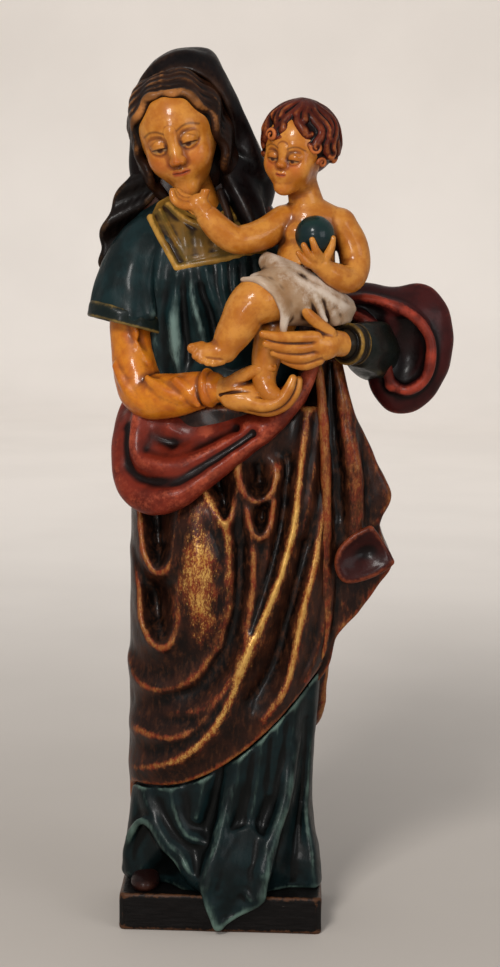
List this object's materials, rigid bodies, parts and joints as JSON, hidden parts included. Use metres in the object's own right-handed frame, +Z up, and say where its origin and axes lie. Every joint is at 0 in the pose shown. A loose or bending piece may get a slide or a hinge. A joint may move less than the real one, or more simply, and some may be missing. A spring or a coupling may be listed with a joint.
{
  "type": "carved mother and child statue",
  "caption": "Standing carved wooden mother in a draped mantle holding a child on her left arm, on a low rectangular plinth",
  "frame": {"origin": "centre of the plinth's underside", "axes": "+Z up, the figure's height; -Y the figure's front; +X to the right of someone facing it"},
  "size_m": [0.1633, 0.088, 0.3967],
  "materials": {
    "steel": "zinc-plated wood screws",
    "beech": "raw beech dowel",
    "skin": "carved wood, ochre paint under brown glaze and varnish",
    "undersleeve": "carved wood, ochre paint under brown glaze and varnish",
    "cuff": "carved wood, dull gold paint",
    "hair": "carved wood, brown-black paint with tan ridges",
    "child_hair": "carved wood, red-brown paint",
    "veil": "carved wood, brown-black paint with olive rim",
    "yoke": "carved wood, ochre paint with gold band",
    "bodice": "carved wood, dark teal paint, dry-brushed ridges",
    "gown": "carved wood, dark teal paint, dry-brushed ridges",
    "gilding": "carved wood, leaf gilding under dark brown glaze",
    "lining": "carved wood, dark red paint",
    "scroll": "carved wood, maroon paint",
    "cloth": "carved wood, grey-white paint under brown glaze",
    "orb": "turned wood, dark teal paint, varnished",
    "shoe": "carved wood, dark red paint",
    "plinth": "black paint, worn at the corners"
  },
  "bodies": {
    "root": {"screw_left": "steel", "screw_right": "steel", "dowel_hem_left": "beech", "dowel_hem_right": "beech", "dowel_waist_left": "beech", "dowel_waist_right": "beech", "dowel_neck": "beech", "dowel_wrist_right": "beech", "dowel_wrist_left": "beech", "dowel_scroll": "beech", "dowel_child_seat": "beech", "dowel_child_neck": "beech", "head": "skin", "child_head": "skin", "orb": "orb", "child_arm_left": "skin", "child_arm_right": "skin", "child_leg_right": "skin", "child_leg_left": "skin", "hand_left": "skin", "hand_right": "skin", "cuff_left": "cuff", "child_torso": "skin", "child_hair": "child_hair", "loincloth": "cloth", "sleeve_cuff_right": "cuff", "arm_right": "undersleeve", "sleeve_right": "bodice", "sleeve_left": "gown", "hair": "hair", "veil": "veil", "yoke": "yoke", "bodice": "bodice", "mantle_scroll": "scroll", "mantle_back": "gilding", "mantle_wrap": "gilding", "lining_sling": "lining", "mantle_corner": "lining", "mantle_fall": "gilding", "shoe": "shoe", "gown": "gown", "plinth": "plinth"}
  },
  "joints": []
}
